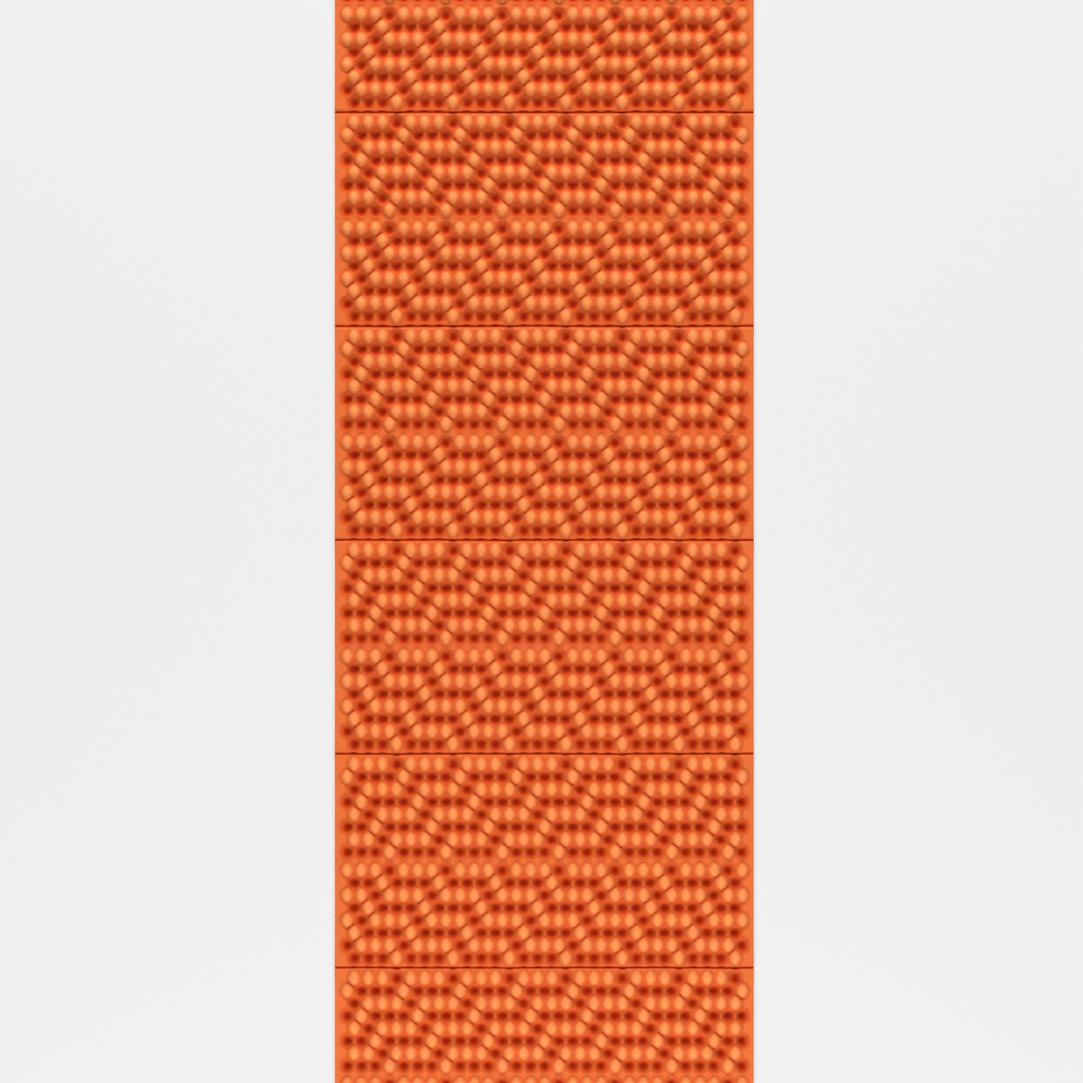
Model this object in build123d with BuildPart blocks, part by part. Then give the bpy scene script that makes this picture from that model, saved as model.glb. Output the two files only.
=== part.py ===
from build123d import *
import math
import os

# Folding sleeping pad of closed-cell foam: fourteen moulded panels in a row, joined edge to edge
# by thirteen creases, so that the pad folds like an accordion into a flat pack.
# Frame: +Y runs along the pad towards panel_01, +X across it, +Z up.
# The origin is under the middle of the pad, on the surface that it lies on.

# ---- Driving dimensions (mm) ----
PANEL_COUNT = 14
PAD_WIDTH = 510.0            # across the pad

FOAM = 9.6                   # thickness of the moulded sheet, the same everywhere
RELIEF = 5.2                 # how far a rib stands out of the flat bands, and how deep a groove goes
NEST_CLEARANCE = 0.4         # gap between two panels that lie folded into each other

ROWS = 8                     # rows of relief on a panel, raised and sunk in turn
ROW_PITCH = 15.2             # from the middle of one row to the next
ROW_FLAT = 1.7               # flat left between neighbouring rows
END_BAND = 11.8              # from a fold line to the middle of the nearest row
SIDE_BAND = 6.5              # flat band along the pad's side edges
DRAFT = 33.0                 # slope of a rib's flanks, in degrees from upright
TIP_ROUND = 1.6              # rounding along a rib's tip, at most this share of the tip's width
TIP_ROUND_SHARE = 0.4

CREASE_GAP = 1.6             # slit between two panels
WEB_RADIUS = 1.5             # half-round live hinge that stays at the foot of the slit
WEB_CLEARANCE = 0.3          # between the web and the seats in the two panels' edges
RIM_ROUND = 2.0              # rounding of the slit's rims
CORNER_ROUND = 6.0           # corners at the two free ends of the pad

# ---- Worked out from them ----
PANEL_LENGTH = (ROWS - 1) * ROW_PITCH + 2 * END_BAND
PAD_LENGTH = PANEL_COUNT * PANEL_LENGTH
CORE_BOTTOM = RELIEF                      # underside of the flat bands
CORE_TOP = RELIEF + FOAM                  # upper side of the flat bands
RIB_WIDTH = ROW_PITCH - ROW_FLAT
RIB_LENGTH = PAD_WIDTH - 2 * SIDE_BAND
DRAFT_INSET = RELIEF * math.tan(math.radians(DRAFT))
TIP_WIDTH = RIB_WIDTH - 2 * DRAFT_INSET
GROOVE_WIDTH = RIB_WIDTH + NEST_CLEARANCE
GROOVE_LENGTH = RIB_LENGTH + NEST_CLEARANCE
SEAT_RADIUS = WEB_RADIUS + WEB_CLEARANCE


def fold_line(crease):
    """Y of a fold line. Crease 1 lies between panel 1 and panel 2, and 0 is the pad's +Y end."""
    return PAD_LENGTH / 2 - crease * PANEL_LENGTH


def folds_under(crease):
    """Odd creases bring the undersides of their two panels together, even creases the tops."""
    return crease % 2 == 1


def is_crease(line):
    """The pad's two ends are fold lines 0 and PANEL_COUNT, and have no crease."""
    return 0 < line < PANEL_COUNT


def fold_height(crease):
    """Z of the fold axis: half a nest clearance outside the face that closes on itself."""
    if folds_under(crease):
        return CORE_BOTTOM - NEST_CLEARANCE / 2
    return CORE_TOP + NEST_CLEARANCE / 2


def row_places(raised):
    """Middles of the raised rows, or of the sunk rows, on a panel whose middle is the origin."""
    start = 0 if raised else 1
    return [(0, ((ROWS - 1) / 2 - row) * ROW_PITCH) for row in range(start, ROWS, 2)]


def add_ridge(base, way, length, width, mode):
    """A ridge with drafted flanks and ends, along X, from the height base to RELIEF above it
    (way 1) or below it (way -1). Added it is a rib, and subtracted it is a groove."""
    with Locations((0, 0, base)):
        Wedge(length, RELIEF, width, DRAFT_INSET, DRAFT_INSET, length - DRAFT_INSET,
              width - DRAFT_INSET, rotation=(90 * way, 0, 0),
              align=(Align.CENTER, Align.MIN, Align.CENTER), mode=mode)


def make_panel(number):
    """One moulded panel, with its middle at Y = 0: a flat core with ribs on one side over grooves
    of the same form on the other, so that a folded panel drops into its neighbour."""
    high = PANEL_LENGTH / 2 - (CREASE_GAP / 2 if is_crease(number - 1) else 0)
    low = -PANEL_LENGTH / 2 + (CREASE_GAP / 2 if is_crease(number) else 0)

    with BuildPart() as panel:
        # flat core
        with BuildSketch(Plane.XY.offset(CORE_BOTTOM)):
            with Locations((0, (high + low) / 2)):
                Rectangle(PAD_WIDTH, high - low)
        extrude(amount=FOAM)

        # the rounded rim of each slit, on its open side, and the corners of a free end
        for line, end in ((number - 1, -1), (number, 0)):
            end_edges = panel.faces().sort_by(Axis.Y)[end].edges()
            if is_crease(line):
                open_side = -1 if folds_under(line) else 0
                fillet(end_edges.filter_by(Axis.X).sort_by(Axis.Z)[open_side], RIM_ROUND)
            else:
                fillet(end_edges.filter_by(Axis.Z), CORNER_ROUND)

        # ribs that stand up, ribs that hang down between them, and the rounding of their tips
        with Locations(*row_places(raised=True)):
            add_ridge(CORE_TOP, 1, RIB_LENGTH, RIB_WIDTH, Mode.ADD)
        with Locations(*row_places(raised=False)):
            add_ridge(CORE_BOTTOM, -1, RIB_LENGTH, RIB_WIDTH, Mode.ADD)
        tips = panel.faces().group_by(Axis.Z)[-1] + panel.faces().group_by(Axis.Z)[0]
        fillet(tips.edges().filter_by(Axis.X), min(TIP_ROUND, TIP_ROUND_SHARE * TIP_WIDTH))

        # the grooves behind them, wider and longer than a rib by the nest clearance
        with Locations(*row_places(raised=True)):
            add_ridge(CORE_BOTTOM, 1, GROOVE_LENGTH, GROOVE_WIDTH, Mode.SUBTRACT)
        with Locations(*row_places(raised=False)):
            add_ridge(CORE_TOP, -1, GROOVE_LENGTH, GROOVE_WIDTH, Mode.SUBTRACT)

        # the seat of the web at each crease
        for line, line_y in ((number - 1, PANEL_LENGTH / 2), (number, -PANEL_LENGTH / 2)):
            if is_crease(line):
                with BuildSketch(Plane.YZ):
                    with Locations((line_y, fold_height(line))):
                        Circle(SEAT_RADIUS)
                extrude(amount=PAD_WIDTH / 2, both=True, mode=Mode.SUBTRACT)
    return panel.part


def make_web(crease):
    """The live hinge of one crease, with the fold line at Y = 0: a half-round bead on the fold
    axis, its flat side flush with the face that closes on itself."""
    inside = 1 if folds_under(crease) else -1
    flush = CORE_BOTTOM if folds_under(crease) else CORE_TOP
    with BuildPart() as web:
        with BuildSketch(Plane.YZ):
            with Locations((0, fold_height(crease))):
                Circle(WEB_RADIUS)
            with Locations((0, flush + inside * WEB_RADIUS / 2)):
                Rectangle(2 * WEB_RADIUS, WEB_RADIUS, mode=Mode.INTERSECT)
        extrude(amount=PAD_WIDTH / 2, both=True)
    return web.part


def write_piece(piece, name, y):
    """Writes a copy of a piece, moved along the pad to its place."""
    placed = piece.moved(Location((0, y, 0)))
    placed.label = name
    export_step(placed, f"parts/{name}.step")


os.makedirs("parts", exist_ok=True)

# Panels alike in form are modelled once: odd and even ones inside the pad, and one at each end.
panels = {}
for number in range(1, PANEL_COUNT + 1):
    form = (folds_under(number), is_crease(number - 1), is_crease(number))
    if form not in panels:
        panels[form] = make_panel(number)
    middle = (fold_line(number - 1) + fold_line(number)) / 2
    write_piece(panels[form], f"panel_{number:02d}", middle)

webs = {True: make_web(1), False: make_web(2)}
for crease in range(1, PANEL_COUNT):
    write_piece(webs[folds_under(crease)], f"crease_{crease:02d}", fold_line(crease))
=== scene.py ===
import math
import bpy
import numpy as np
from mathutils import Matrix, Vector


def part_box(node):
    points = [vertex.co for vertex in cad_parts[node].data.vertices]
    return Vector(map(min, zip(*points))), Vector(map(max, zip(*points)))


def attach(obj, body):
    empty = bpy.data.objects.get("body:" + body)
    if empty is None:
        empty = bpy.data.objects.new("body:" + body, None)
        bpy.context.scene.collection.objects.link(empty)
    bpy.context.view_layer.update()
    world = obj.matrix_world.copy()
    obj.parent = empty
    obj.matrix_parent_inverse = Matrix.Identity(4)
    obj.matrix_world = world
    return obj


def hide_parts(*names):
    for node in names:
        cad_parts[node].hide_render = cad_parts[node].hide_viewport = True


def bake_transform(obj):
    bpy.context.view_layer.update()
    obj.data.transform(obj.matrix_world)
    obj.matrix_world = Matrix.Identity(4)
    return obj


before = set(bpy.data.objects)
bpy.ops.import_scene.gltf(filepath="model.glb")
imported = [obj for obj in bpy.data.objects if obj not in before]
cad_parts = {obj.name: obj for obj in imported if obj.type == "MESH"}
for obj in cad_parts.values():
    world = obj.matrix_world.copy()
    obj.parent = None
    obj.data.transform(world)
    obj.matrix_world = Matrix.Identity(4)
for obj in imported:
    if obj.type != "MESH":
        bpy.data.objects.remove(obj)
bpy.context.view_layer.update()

# Folding sleeping pad of closed-cell foam, lying open on its underside. +Y runs along the pad
# towards panel_01, +X across it, +Z up. Everything is in metres.

MM = 0.001

# ---- Read from the frame ----
PANEL_COUNT = sum(name.startswith("panel_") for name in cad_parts)
PAD_LENGTH = 2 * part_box("panel_01")[1].y
PAD_WIDTH = 2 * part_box("panel_01")[1].x
PANEL_LENGTH = PAD_LENGTH / PANEL_COUNT
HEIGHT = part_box("panel_02")[1].z
CREASE_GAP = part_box("panel_02")[0].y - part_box("panel_03")[1].y
WEB_LOW, WEB_HIGH = (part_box("crease_01")[0].z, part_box("crease_02")[1].z)

# ---- The moulded sheet ----
BAND_LOW = WEB_LOW                        # underside of the flat bands
BAND_HIGH = WEB_HIGH                      # upper side of the flat bands
RELIEF = HEIGHT - BAND_HIGH               # height of a dome, and depth of a cup

# ---- Domes and cups ----
ROWS = 8
ROW_PITCH = 15.2 * MM
ROW_SHIFT = 0.7 * MM                      # the rows lie this much nearer to the shut crease
COLUMNS = 29                              # places in a full row; the rows between have one less
COLUMN_PITCH = 17.16 * MM
COLUMN_SHIFT = 0.6 * MM                   # the columns lie this much towards +X
DIAGONAL = 8                              # half columns from one diagonal of swapped cells to the next
CELL_HALF_WIDTH = 8.5 * MM                # of one dome or cup, at the level of the bands
CELL_HALF_LENGTH = 9.2 * MM               # along the pad
OPEN_STRETCH = 1.12                       # cells beside an open slit reach towards it
CELL_FOOT = 0.06                          # softness of a cell's foot
DOME_POWER = 0.92                         # below one, full domes and bowls
CUP_POWER = 0.88
CREVICE = 0.22                            # share of the relief pinched in between two domes
CREVICE_REACH = 1.35                      # in radii of a dome
FIELD_EDGE = 0.5                          # nearness of cells from which a place is inside the field of painted shade

# ---- Outer edges and shut creases ----
CUT_ROUND = 0.7 * MM                      # the knife-cut outer edges
CORNER_ROUND = 6.0 * MM
SIDE_DRAW = 0.3 * MM                      # the sides draw in this much away from an open crease
DRAW_REACH = 18 * MM                      # within about this distance of it they widen again
SIDE_ZONE = 0.06                          # share of the half width that gives way with a side
WAVE = 0.16 * MM                          # unevenness of the cut edges
WAVE_PARTS = ((0.131, 0.45, 1.7), (0.057, 0.35, 2.9), (0.023, 0.2, 4.3))    # length, share, turn
SIDE_TURN = 3                             # these keep the waves of sides, ends and mouths apart
END_TURN = 2.3
MOUTH_TURN = 1.3
FOLD_DIP = 0.2 * MM                       # shallow line that a shut crease leaves in the face
FOLD_DIP_WIDTH = 3.0 * MM

# ---- Slits ----
RIM_ROUND = 2.8 * MM                      # rim of a slit in the upper side
RIM_ROUND_BELOW = 2.2 * MM                # and of one in the underside
RIM_DROP = 0.7                            # share of a full quarter round
MEANDER = 0.4 * MM                        # how far a slit wanders from its fold line
MEANDER_STRETCH = 0.45                    # below one, longer waves than the cut edges have
MOUTH = 4.5 * MM                          # the upper side gives way this far from the slit
SLIT_FLARE = 1.2 * MM                     # the slit is wider at its mouth, on each side
WALL_BULGE = 0.78 * MM                    # below it the end walls swell until they all but touch
WALL_RINGS = ((0.03, 0.45), (0.09, 1.0), (0.7, 0.6))    # share of the depth, share of the bulge

# ---- Pressed strips ----
STRIP_OVERLAP = 0.35 * MM                 # a strip runs this far into both panels
STRIP_HALF_THICK = 1.0 * MM
STRIP_SINK = 0.02 * MM                    # its face lies this much under the line of its crease
STRIP_SHORT = 0.6 * MM                    # it ends this far inside the pad's sides
STRIP_STEPS = 160                         # mesh steps across the pad
STRIP_SIDES = 32                          # and round the section
STRIP_FULLNESS = 6                        # power of its rounded section; 2 is an ellipse

# ---- Colour by relief, with painted shade and painted light ----
FIELD_PAINTED_SHADE = 0.25                         # painted shade: the sheet is painted this much darker and redder between the cells
CUP_SHADE_SHIFT = 1.3 * MM                     # painted shade: a cup is painted darkest and reddest this far from its middle, towards -Y
SLIT_PAINTED_SHADE = -0.75                         # painted shade: the walls in a slit are painted as dark and red as a cup near its bottom

# ---- Mesh of a panel ----
COLUMN_STEPS = 10                         # steps to a column
ROW_STEPS = 10                            # steps to a row
RIM_STEPS = 4                             # steps over a rim's round
MARGIN_STEPS = 2                          # from there to the even inner steps
END_EASE = 8                              # power by which the rows reach out to a free end
TURNED_OVER = [0, 3, 2, 1]                # a quad turned over so keeps its diagonal, and nests

# ---- Mottling, pores and skin ----
MOTTLE_SCALE = 55.0                       # patches of about 18 mm
MOTTLE_RANGE = (0.93, 1.07)               # how much darker and lighter they make the foam
PORE_SCALE = 1300.0                       # pores just under a millimetre
PORE_DEPTH = 0.15 * MM
PORE_STRENGTH = 0.25
MATT_BELOW = -0.3                         # level of relief up to which the foam is matt
SATIN_ABOVE = 0.3                         # and from which its skin is satin

# ---- Floor, light and camera, in metres ----
PALE_GREY = 0.863                         # floor and room as they are seen
LIT_GREY = 0.775                          # the part of the floor that takes light and shadow
SHADOW_SHARE = 0.3                        # that part's share of the floor
SHADOW_FADES = 1.05                       # from this far out it gives way to an even glow
SHADOW_ENDS = 2.0
FLOOR_REACH = 60.0
ROOM_LIGHT = 0.08                         # what the room adds to the lamps
CAMERA_HEIGHT = 3.0                       # above the bands
CAMERA_ASIDE = (-3.4 * MM, -1.8 * MM)     # from the middle of the pad
FIELD_WIDTH = 1.3165                      # width of the view at the level of the bands
SENSOR_WIDTH = 36.0                       # in millimetres, as the lens is


def fold_line(crease):
    """Y of a fold line; 0 is the pad's +Y end."""
    return PAD_LENGTH / 2 - crease * PANEL_LENGTH


def is_crease(line):
    """The pad's two ends are fold lines 0 and PANEL_COUNT, and have no crease."""
    return 0 < line < PANEL_COUNT


# ---------------------------------------------------------------- relief

def cell_profile(distance):
    """Height of a dome or depth of a cup, from 0 to 1, by the distance from its middle as a share
    of its radius: one minus the square, with a soft foot."""
    fall = 1 - distance ** 2
    soft = (fall + np.sqrt(fall ** 2 + CELL_FOOT ** 2)) / 2
    top = (1 + math.sqrt(1 + CELL_FOOT ** 2)) / 2
    return soft / top


def pinch(total, highest):
    """Depth of the crevice between neighbours of one kind, from 0 to 1: the square of what the
    second of them adds to the higher one, where each reaches somewhat past its own foot."""
    midway = 1 - 1 / CREVICE_REACH ** 2
    return np.clip((total - highest) / midway, 0, 1) ** 2


def relief(x, y, way):
    """Relief of a panel's upper side and of its underside, from -1 in a cup to 1 on a dome, and
    the field of cells, from 0 on the bare bands to 1. Here y runs from the panel's middle towards
    its shut crease. Cells stand in eight rows, every second row half a column aside. Even rows are
    domes and odd rows are cups, but along each diagonal they are swapped. With way -1 all domes
    and cups are swapped. A side's relief is its domes less its cups, each the cell's profile
    raised to a power, less the crevices between its domes."""
    shape = np.broadcast(x, y).shape
    heights = {kind: np.zeros(shape) for kind in ("dome", "cup")}
    totals = {kind: np.zeros(shape) for kind in heights}
    highest = {kind: np.zeros(shape) for kind in heights}
    for row in range(ROWS):
        aside = 0.5 * (row % 2)
        row_y = ((ROWS - 1) / 2 - row) * ROW_PITCH + ROW_SHIFT
        along = y - row_y
        if row == ROWS - 1:
            along = np.where(along < 0, along / OPEN_STRETCH, along)
        place = (x - COLUMN_SHIFT) / COLUMN_PITCH + (COLUMNS - 1) / 2 - aside
        for column in (np.floor(place), np.floor(place) + 1):
            exists = (column >= 0) & (column < COLUMNS - (row % 2))
            swapped = (2 * (column + aside) + row) % DIAGONAL == DIAGONAL - 2
            raised = ((row % 2 == 0) ^ swapped) == (way == 1)
            across = (place - column) * COLUMN_PITCH
            distance = np.hypot(across / CELL_HALF_WIDTH, along / CELL_HALF_LENGTH)
            near = np.clip(1 - (distance / CREVICE_REACH) ** 2, 0, 1)
            for kind in heights:
                here = exists & (raised if kind == "dome" else ~raised)
                heights[kind] = np.maximum(heights[kind], np.where(here, cell_profile(distance), 0))
                totals[kind] += np.where(here, near, 0)
                highest[kind] = np.maximum(highest[kind], np.where(here, near, 0))
    # on either side the hollow is a little fuller than the dome that nests in it
    upper = heights["dome"] ** DOME_POWER - heights["cup"] ** CUP_POWER
    lower = heights["dome"] ** CUP_POWER - heights["cup"] ** DOME_POWER
    upper = upper - CREVICE * pinch(totals["dome"], highest["dome"])
    lower = lower + CREVICE * pinch(totals["cup"], highest["cup"])
    # the field of cells is the mask of the painted shade between them
    shade_field = np.clip((totals["dome"] + totals["cup"]) / FIELD_EDGE, 0, 1)
    return upper, lower, shade_field


def tone(height, shifted, shade_field):
    """Level of the foam's colour, from -1 to 1, with painted light and painted shade: the height on
    domes, painted lighter towards their tops; the relief a little aside in cups, so that their
    painted shade lies off the middle; and less between the two, by one minus its square, as
    painted shade where the cells stand close."""
    level = np.maximum(height, 0) + np.minimum(shifted, 0)
    return level - FIELD_PAINTED_SHADE * shade_field * (1 - level ** 2)


# ---------------------------------------------------------------- panels

def wave(along, seed):
    """A slow uneven wave from -1 to 1 along an edge: three sines of unrelated lengths."""
    total = np.zeros_like(along)
    for length, share, turn in WAVE_PARTS:
        total += share * np.sin(2 * math.pi * along / length + turn * seed)
    return total


def nearness(distance, reach):
    """One at an edge, and evenly less until it is zero at the reach."""
    return np.clip(1 - distance / reach, 0, 1)


def rounded(distance, radius):
    """How far a quarter-round rim has dropped at a distance in from the edge: the radius less the
    height of a circle."""
    return radius * (1 - np.sqrt(1 - nearness(distance, radius) ** 2))


def dipped(distance):
    """How far the face dips towards a shut crease: the dip by the square of the nearness."""
    return FOLD_DIP * nearness(distance, FOLD_DIP_WIDTH) ** 2


def edge_steps(margin, radius):
    """Distances in from an edge: over the rim's round one minus a cosine, then even steps."""
    turns = np.linspace(0, math.pi / 2, RIM_STEPS + 1)
    steps = radius * (1 - np.cos(turns))
    return np.append(steps[:-1], np.linspace(radius, margin, MARGIN_STEPS + 1)[:-1])


def panel_grid():
    """Distances across a panel from its middle, and along it from its middle towards the shut
    crease. The inner steps are even, and the outer ones follow the rims."""
    inner_x = np.linspace(-0.5, 0.5, COLUMNS * COLUMN_STEPS + 1) * COLUMNS * COLUMN_PITCH
    margin = PAD_WIDTH / 2 - inner_x[-1]
    outer_x = PAD_WIDTH / 2 - edge_steps(margin, CUT_ROUND)
    inner_y = np.linspace(-0.5, 0.5, ROWS * ROW_STEPS + 1) * ROWS * ROW_PITCH + ROW_SHIFT
    half = (PANEL_LENGTH - CREASE_GAP) / 2
    shut_y = half - edge_steps(half - inner_y[-1], RIM_ROUND_BELOW)
    open_y = -half + edge_steps(half + inner_y[0], RIM_ROUND)
    xs = np.concatenate((-outer_x, inner_x, outer_x[::-1]))
    ys = np.concatenate((open_y, inner_y, shut_y[::-1]))
    return xs, ys


def set_mesh(name, points, quads, values):
    """A mesh of quads, shaded smooth, with named point attributes."""
    mesh = bpy.data.meshes.new(name)
    mesh.vertices.add(len(points))
    mesh.vertices.foreach_set("co", points.astype(np.float32).ravel())
    mesh.loops.add(quads.size)
    mesh.loops.foreach_set("vertex_index", quads.astype(np.int32).ravel())
    mesh.polygons.add(len(quads))
    mesh.polygons.foreach_set("loop_start", np.arange(0, quads.size, 4, dtype=np.int32))
    mesh.polygons.foreach_set("loop_total", np.full(len(quads), 4, dtype=np.int32))
    mesh.update(calc_edges=True)
    mesh.shade_smooth()
    for key, value in values.items():
        layer = mesh.attributes.new(key, "FLOAT", "POINT")
        layer.data.foreach_set("value", value.astype(np.float32).ravel())
    piece = bpy.data.objects.new(name, mesh)
    bpy.context.scene.collection.objects.link(piece)
    return piece


def grid_quads(rows, columns, start=0):
    """Quads of a grid of points that are numbered row by row from start."""
    corner = (np.arange(rows - 1)[:, None] * columns + np.arange(columns - 1)[None, :]).ravel()
    return start + np.stack((corner, corner + 1, corner + columns + 1, corner + columns), axis=1)


def closed_sheet(upper, lower, outward, widened):
    """Points and quads of a closed sheet: two grids of points, and a wall of rings round them. A
    ring's points lie between the two rims by its share of the depth. An end wall at a crease also
    swells along the pad, by the ring's share of the bulge and of what the slit's mouth has given
    way there. The third result is 1 for each wall point of such an end wall, and else 0."""
    rows, columns = outward.shape
    count = rows * columns
    index = np.arange(count).reshape(rows, columns)
    ring = np.concatenate((index[0, :-1], index[:-1, -1], index[-1, :0:-1], index[:0:-1, 0]))
    facing = outward.ravel()[ring]
    along = np.stack((0 * facing, facing, 0 * facing), axis=1)
    mouth = widened.ravel()[ring][:, None]
    wall = [upper.reshape(-1, 3)[ring] * (1 - share) + lower.reshape(-1, 3)[ring] * share
            + along * swell * (WALL_BULGE + mouth * (1 - share)) for share, swell in WALL_RINGS]
    points = np.concatenate([upper.reshape(-1, 3), lower.reshape(-1, 3)] + wall)

    loops = [ring] + [2 * count + len(ring) * step + np.arange(len(ring))
                      for step in range(len(WALL_RINGS))]
    loops.append(ring + count)
    walls = [np.stack((a, b, np.roll(b, -1), np.roll(a, -1)), axis=1)
             for a, b in zip(loops[:-1], loops[1:])]
    lower_quads = grid_quads(rows, columns, count)[:, TURNED_OVER]
    quads = np.concatenate([grid_quads(rows, columns), lower_quads] + walls)
    return points, quads, np.tile(np.abs(facing), len(WALL_RINGS))


def make_panel(number):
    """One moulded panel as a closed sheet. Its upper side is the bands' level plus the relief, and
    its underside is the same surface lower down by the foam's thickness. Even panels are odd ones
    turned end for end with domes and cups swapped, so that they drop into each other."""
    way = 1 if number % 2 == 1 else -1
    shut_line, open_line = (number - 1, number) if way == 1 else (number, number - 1)
    middle = (fold_line(number - 1) + fold_line(number)) / 2
    shut_is_crease = is_crease(shut_line)
    half_open = (PANEL_LENGTH - CREASE_GAP) / 2
    half_shut = half_open if shut_is_crease else PANEL_LENGTH / 2

    xs, ys = panel_grid()
    ys = np.where(ys > 0, ys + (half_shut - half_open) * (ys / half_open) ** END_EASE, ys)
    x, y = np.meshgrid(xs, ys)
    upper_relief, lower_relief, shade_field = relief(x, y, way)
    # the relief a little aside, which places the painted shade in the cups off their middles
    upper_shifted, lower_shifted, _ = relief(x, y + way * CUP_SHADE_SHIFT, way)
    from_open = y + half_open
    from_shut = half_shut - y
    from_side = PAD_WIDTH / 2 - np.abs(x)

    # heights: relief, the rims of the two slits, and the cut outer edges
    top = BAND_HIGH + RELIEF * upper_relief - RIM_DROP * rounded(from_open, RIM_ROUND)
    low = BAND_LOW + RELIEF * lower_relief + dipped(from_open)
    if shut_is_crease:
        top = top - dipped(from_shut)
        low = low + RIM_DROP * rounded(from_shut, RIM_ROUND_BELOW)
    else:
        top = top - rounded(from_shut, CUT_ROUND)
        low = low + rounded(from_shut, CUT_ROUND)
    top = top - rounded(from_side, CUT_ROUND)
    low = low + rounded(from_side, CUT_ROUND)

    # the sides draw in, with the round corners of a free end
    side = np.sign(x)
    inside = (1 - SIDE_ZONE) * PAD_WIDTH / 2
    gives_way = np.clip((np.abs(x) - inside) / (SIDE_ZONE * PAD_WIDTH / 2), 0, 1)
    draw = SIDE_DRAW * (1 - np.exp(-(from_open / DRAW_REACH) ** 2))
    draw = draw + WAVE * (1 + wave(middle + way * y, SIDE_TURN + side)) / 2
    if not shut_is_crease:
        draw = draw + rounded(from_shut, CORNER_ROUND)
    x_out = x - side * gives_way * draw

    # a free end is cut unevenly, and the upper side gives way to the slit's mouth, which meanders
    near_end = 0 if shut_is_crease else nearness(from_shut, CORNER_ROUND)
    y_out = y - near_end * WAVE * (1 + wave(x, END_TURN + shut_line)) / 2
    near_open = nearness(from_open, MOUTH)
    meander = way * MEANDER * wave(MEANDER_STRETCH * x, open_line)
    uneven = WAVE * (1 + wave(x, MOUTH_TURN * open_line)) / 2
    widened = near_open * (SLIT_FLARE * near_open + uneven)
    y_mouth = y_out + near_open * meander + widened

    # the end walls at the creases are moulded; the rest of the wall is cut
    moulded = np.zeros(x.shape)
    moulded[0] = 1
    moulded[-1] = 1 if shut_is_crease else 0
    upper = np.stack((x_out, middle + way * y_mouth, top), axis=-1)
    lower = np.stack((x_out, middle + way * y_out, low), axis=-1)
    points, quads, wall = closed_sheet(upper, lower, np.sign(y) * way * moulded, widened)
    if way == -1:
        quads = quads[:, TURNED_OVER]

    # colour level, with painted shade between the cells, off the middle of the cups and on the walls
    # in the slits, and painted light on the domes; it is stored as the relief attribute
    upper_tone = tone(upper_relief, upper_shifted, shade_field)
    lower_tone = tone(-lower_relief, -lower_shifted, shade_field)
    tone_and_shade = np.concatenate((upper_tone.ravel(), lower_tone.ravel(), SLIT_PAINTED_SHADE * wall))
    cut = np.concatenate((np.zeros(2 * x.size), 1 - wall))
    return set_mesh(f"foam_panel_{number:02d}", points, quads, {"relief": tone_and_shade, "cut": cut})


# ---------------------------------------------------------------- creases

def make_web(crease):
    """The web of a crease, the pressed strip that carries its fold: a flat section swept across
    the pad. Round the section the distance from its middle is a cosine, and the height is the
    sixth root of one less the cosine's sixth power. It lies at the foot of an odd crease's slit,
    and at the top of an even one's, where it leaves a shallow line in the upper side."""
    half_width = CREASE_GAP / 2 + STRIP_OVERLAP
    sink = FOLD_DIP + STRIP_SINK + STRIP_HALF_THICK
    middle_z = BAND_LOW + sink if crease % 2 == 1 else BAND_HIGH - sink
    turn = np.linspace(0, 2 * math.pi, STRIP_SIDES, endpoint=False)
    fullness = (1 - np.abs(np.cos(turn)) ** STRIP_FULLNESS) ** (1 / STRIP_FULLNESS)
    across = np.linspace(-1, 1, STRIP_STEPS + 1) * (PAD_WIDTH / 2 - STRIP_SHORT)
    x = np.repeat(across[:, None], STRIP_SIDES, axis=1)
    y = fold_line(crease) + half_width * np.cos(turn)[None, :] + 0 * x
    z = middle_z + (STRIP_HALF_THICK * np.sign(np.sin(turn)) * fullness)[None, :] + 0 * x
    points = np.stack((x, y, z), axis=-1).reshape(-1, 3)

    first_corner = np.arange(STRIP_STEPS)[:, None] * STRIP_SIDES
    corner = (first_corner + np.arange(STRIP_SIDES)[None, :]).ravel()
    beside = (first_corner + (np.arange(STRIP_SIDES)[None, :] + 1) % STRIP_SIDES).ravel()
    around = np.stack((corner, beside, beside + STRIP_SIDES, corner + STRIP_SIDES), axis=1)
    # the two ends are closed by quads between the upper and the lower half of the section
    step = np.arange(STRIP_SIDES // 2 - 1)
    first = np.stack((STRIP_SIDES - 1 - step, STRIP_SIDES - 2 - step, step + 1, step), axis=1)
    last = first[:, ::-1] + STRIP_STEPS * STRIP_SIDES
    quads = np.concatenate((around, first, last))
    values = {"relief": np.zeros(len(points)), "cut": np.zeros(len(points))}
    return set_mesh(f"fold_strip_{crease:02d}", points, quads, values)


# ---------------------------------------------------------------- foam

def new_node(tree, kind, settings=None):
    """A shader node with these values on its inputs."""
    node = tree.nodes.new(kind)
    for socket, value in (settings or {}).items():
        node.inputs[socket].default_value = value
    return node


def attribute_node(tree, name):
    """A node that reads one of the mesh's point values."""
    node = tree.nodes.new("ShaderNodeAttribute")
    node.attribute_name = name
    return node


def link(tree, source, target):
    """Joins an output to an input."""
    tree.links.new(source, target)


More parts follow.
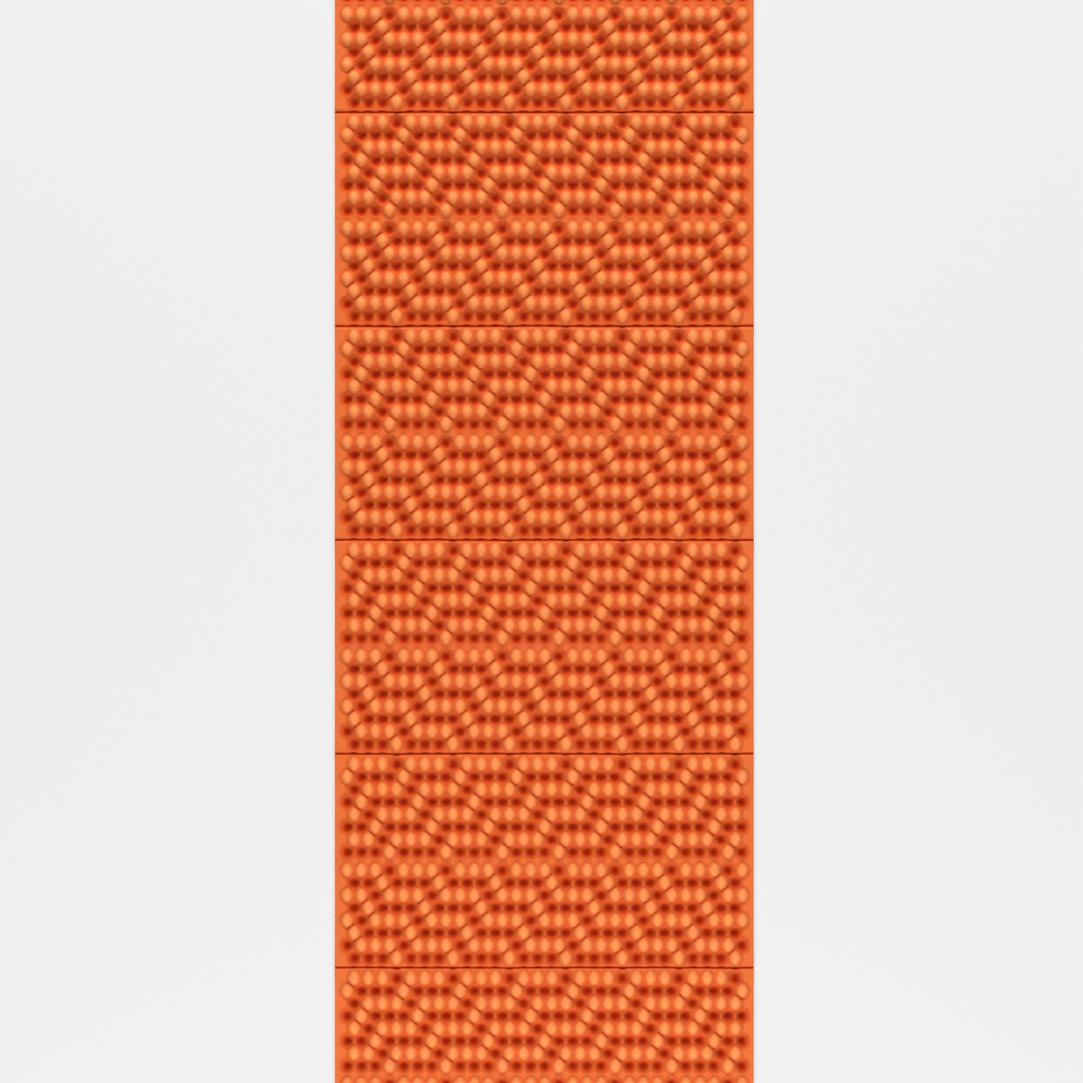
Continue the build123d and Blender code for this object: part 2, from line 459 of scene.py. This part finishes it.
def foam_material(name, tones, roughness):
    """Moulded closed-cell foam. Its colour follows the level of relief, which runs from -1 in a
    cup to 1 on a dome, and carries painted shade in the cups, between the cells and in the slits,
    and painted light on the domes; slow mottling makes it lighter and darker. Its skin is satin
    on the domes, at this roughness, and matt in the cups, with fine pores. Knife-cut edges are
    paler."""
    material = bpy.data.materials.new(name)
    material.use_nodes = True
    tree = material.node_tree
    shader = tree.nodes["Principled BSDF"]
    where = tree.nodes.new("ShaderNodeTexCoord")
    tone_and_shade = attribute_node(tree, "relief")
    cut = attribute_node(tree, "cut")
    mottle = new_node(tree, "ShaderNodeTexNoise", {"Scale": MOTTLE_SCALE, "Detail": 4.0})
    pores = new_node(tree, "ShaderNodeTexNoise", {"Scale": PORE_SCALE, "Detail": 3.0})
    for texture in (mottle, pores):
        link(tree, where.outputs["Object"], texture.inputs["Vector"])

    # colour by relief, with painted shade in the cups, between the cells and in the slits, and painted
    # light on the domes
    level = new_node(tree, "ShaderNodeMapRange", {"From Min": -1.0, "From Max": 1.0})
    link(tree, tone_and_shade.outputs["Fac"], level.inputs["Value"])
    by_painted_shade = tree.nodes.new("ShaderNodeValToRGB")
    ramp = by_painted_shade.color_ramp
    ramp.elements[0].color = (*tones[-1.0], 1)
    ramp.elements[1].color = (*tones[1.0], 1)
    for height, colour in tones.items():
        if abs(height) < 1:
            ramp.elements.new((height + 1) / 2).color = (*colour, 1)
    link(tree, level.outputs["Result"], by_painted_shade.inputs["Fac"])

    # mottling
    darkest, lightest = MOTTLE_RANGE
    shade = new_node(tree, "ShaderNodeMapRange", {"To Min": darkest, "To Max": lightest})
    tint = tree.nodes.new("ShaderNodeHueSaturation")
    link(tree, mottle.outputs["Fac"], shade.inputs["Value"])
    link(tree, shade.outputs["Result"], tint.inputs["Value"])
    link(tree, by_painted_shade.outputs["Color"], tint.inputs["Color"])

    # cut edges
    by_cut = tree.nodes.new("ShaderNodeMix")
    by_cut.data_type = "RGBA"
    by_cut.inputs["B"].default_value = CUT_COLOUR
    link(tree, cut.outputs["Fac"], by_cut.inputs["Factor"])
    link(tree, tint.outputs["Color"], by_cut.inputs["A"])
    link(tree, by_cut.outputs["Result"], shader.inputs["Base Color"])

    # skin
    gloss = new_node(tree, "ShaderNodeMapRange", {"From Min": MATT_BELOW, "From Max": SATIN_ABOVE,
                                                  "To Min": 1.0, "To Max": roughness})
    link(tree, tone_and_shade.outputs["Fac"], gloss.inputs["Value"])
    link(tree, gloss.outputs["Result"], shader.inputs["Roughness"])
    skin = new_node(tree, "ShaderNodeBump", {"Strength": PORE_STRENGTH, "Distance": PORE_DEPTH})
    link(tree, pores.outputs["Fac"], skin.inputs["Height"])
    link(tree, skin.outputs["Normal"], shader.inputs["Normal"])
    shader.inputs["Specular IOR Level"].default_value = 0.3
    shader.inputs["Specular Tint"].default_value = (1, 0.9, 0.4, 1)
    return material


# ---------------------------------------------------------------- room

def plain_backdrop(name):
    """A pale matt surface that keeps a soft shadow: part of it is lit, and part glows evenly
    where it is seen directly or in a reflection. Well away from the pad all of it glows."""
    material = bpy.data.materials.new(name)
    material.use_nodes = True
    tree = material.node_tree
    nodes = tree.nodes
    nodes.remove(nodes["Principled BSDF"])
    lit = new_node(tree, "ShaderNodeBsdfDiffuse", {"Color": (LIT_GREY, LIT_GREY, LIT_GREY, 1)})
    even = new_node(tree, "ShaderNodeEmission", {"Color": (PALE_GREY, PALE_GREY, PALE_GREY, 1)})

    # the glow's share, by the distance from the middle of the pad
    where = nodes.new("ShaderNodeTexCoord")
    away = nodes.new("ShaderNodeVectorMath")
    away.operation = "LENGTH"
    link(tree, where.outputs["Object"], away.inputs[0])
    glow = new_node(tree, "ShaderNodeMapRange",
                    {"From Min": SHADOW_FADES, "From Max": SHADOW_ENDS,
                     "To Min": 1 - SHADOW_SHARE, "To Max": 1.0})
    link(tree, away.outputs["Value"], glow.inputs["Value"])

    # it counts only where the surface is seen
    path = nodes.new("ShaderNodeLightPath")
    seen = nodes.new("ShaderNodeMath")
    seen.operation = "MAXIMUM"
    link(tree, path.outputs["Is Camera Ray"], seen.inputs[0])
    link(tree, path.outputs["Is Glossy Ray"], seen.inputs[1])
    share = nodes.new("ShaderNodeMath")
    share.operation = "MULTIPLY"
    link(tree, seen.outputs["Value"], share.inputs[0])
    link(tree, glow.outputs["Result"], share.inputs[1])

    mixed = nodes.new("ShaderNodeMixShader")
    link(tree, share.outputs["Value"], mixed.inputs["Fac"])
    link(tree, lit.outputs["BSDF"], mixed.inputs[1])
    link(tree, even.outputs["Emission"], mixed.inputs[2])
    link(tree, mixed.outputs["Shader"], nodes["Material Output"].inputs["Surface"])
    return material


def make_floor():
    """A square of floor at the level that the pad lies on."""
    mesh = bpy.data.meshes.new("floor")
    corners = [(-FLOOR_REACH, -FLOOR_REACH, 0), (FLOOR_REACH, -FLOOR_REACH, 0),
               (FLOOR_REACH, FLOOR_REACH, 0), (-FLOOR_REACH, FLOOR_REACH, 0)]
    mesh.from_pydata(corners, [], [(0, 1, 2, 3)])
    floor = bpy.data.objects.new("floor", mesh)
    bpy.context.scene.collection.objects.link(floor)
    floor.data.materials.append(plain_backdrop("pale_floor"))


def soft_lamp(name, place, aim, size, watts):
    """An oblong lamp at a place, turned towards its aim."""
    lamp = bpy.data.lights.new(name, "AREA")
    lamp.shape = "RECTANGLE"
    lamp.size, lamp.size_y = size
    lamp.energy = watts
    holder = bpy.data.objects.new(name, lamp)
    holder.location = place
    holder.rotation_euler = (Vector(aim) - Vector(place)).to_track_quat("-Z", "Y").to_euler()
    holder.visible_camera = False
    bpy.context.scene.collection.objects.link(holder)


def make_light():
    """Two long soft lamps beyond the pad's ends, the stronger at the +Y end, and an even room."""
    middle = (0, 0, 0)
    soft_lamp("head_lamp", place=(0, 5.0, 2.9), aim=middle, size=(1.8, 1.2), watts=405)
    soft_lamp("foot_lamp", place=(0, -3.2, 1.85), aim=middle, size=(1.1, 0.7), watts=118)
    world = bpy.data.worlds.new("room")
    world.use_nodes = True
    tree = world.node_tree
    room = tree.nodes["Background"]
    room.inputs["Color"].default_value = (1, 1, 1, 1)
    path = tree.nodes.new("ShaderNodeLightPath")
    level = new_node(tree, "ShaderNodeMapRange", {"To Min": ROOM_LIGHT, "To Max": PALE_GREY})
    link(tree, path.outputs["Is Camera Ray"], level.inputs["Value"])
    link(tree, level.outputs["Result"], room.inputs["Strength"])
    bpy.context.scene.world = world


def make_camera():
    """Straight above the middle of the pad, so near that the pad's ends run out of view."""
    camera = bpy.data.cameras.new("camera")
    holder = bpy.data.objects.new("camera", camera)
    camera.sensor_width = SENSOR_WIDTH
    camera.lens = SENSOR_WIDTH * CAMERA_HEIGHT / FIELD_WIDTH
    holder.location = (*CAMERA_ASIDE, CAMERA_HEIGHT + BAND_HIGH)
    bpy.context.scene.collection.objects.link(holder)
    bpy.context.scene.camera = holder


# ---------------------------------------------------------------- the pad

# Colour by level of relief, as red, green and blue: the foam's own colour at 0, with painted
# shade darker and redder down into the cups and painted light towards the domes' tops. A strip
# has no relief, so it shows the middle.
FOAM_TONES_WITH_PAINTED_SHADE = {-1.0: (0.29, 0.005, 0.0001), -0.88: (0.47, 0.036, 0.003), -0.7: (0.62, 0.082, 0.014),
              -0.45: (0.66, 0.102, 0.022), -0.25: (0.63, 0.099, 0.023), -0.1: (0.70, 0.126, 0.029),
              0.0: (0.75, 0.145, 0.033), 0.25: (0.80, 0.175, 0.042), 0.65: (0.93, 0.265, 0.080),
              1.0: (0.93, 0.285, 0.084)}
STRIP_TONES = {-1.0: (0.68, 0.115, 0.024), 1.0: (0.74, 0.135, 0.03)}
CUT_COLOUR = (0.82, 0.24, 0.08, 1)        # paler than the flat bands
foam = foam_material("moulded_foam", FOAM_TONES_WITH_PAINTED_SHADE, roughness=0.5)
pressed = foam_material("pressed_foam_strip", STRIP_TONES, roughness=0.45)

for number in range(1, PANEL_COUNT + 1):
    body = f"panel_{number:02d}"
    panel = make_panel(number)
    panel.data.materials.append(foam)
    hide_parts(body)
    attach(panel, body)

for crease in range(1, PANEL_COUNT):
    web = make_web(crease)
    web.data.materials.append(pressed)
    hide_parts(f"crease_{crease:02d}")
    if crease % 2 == 1:
        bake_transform(web)
    else:
        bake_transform(web)

make_floor()
make_light()
make_camera()
bpy.context.scene.view_settings.view_transform = "Standard"
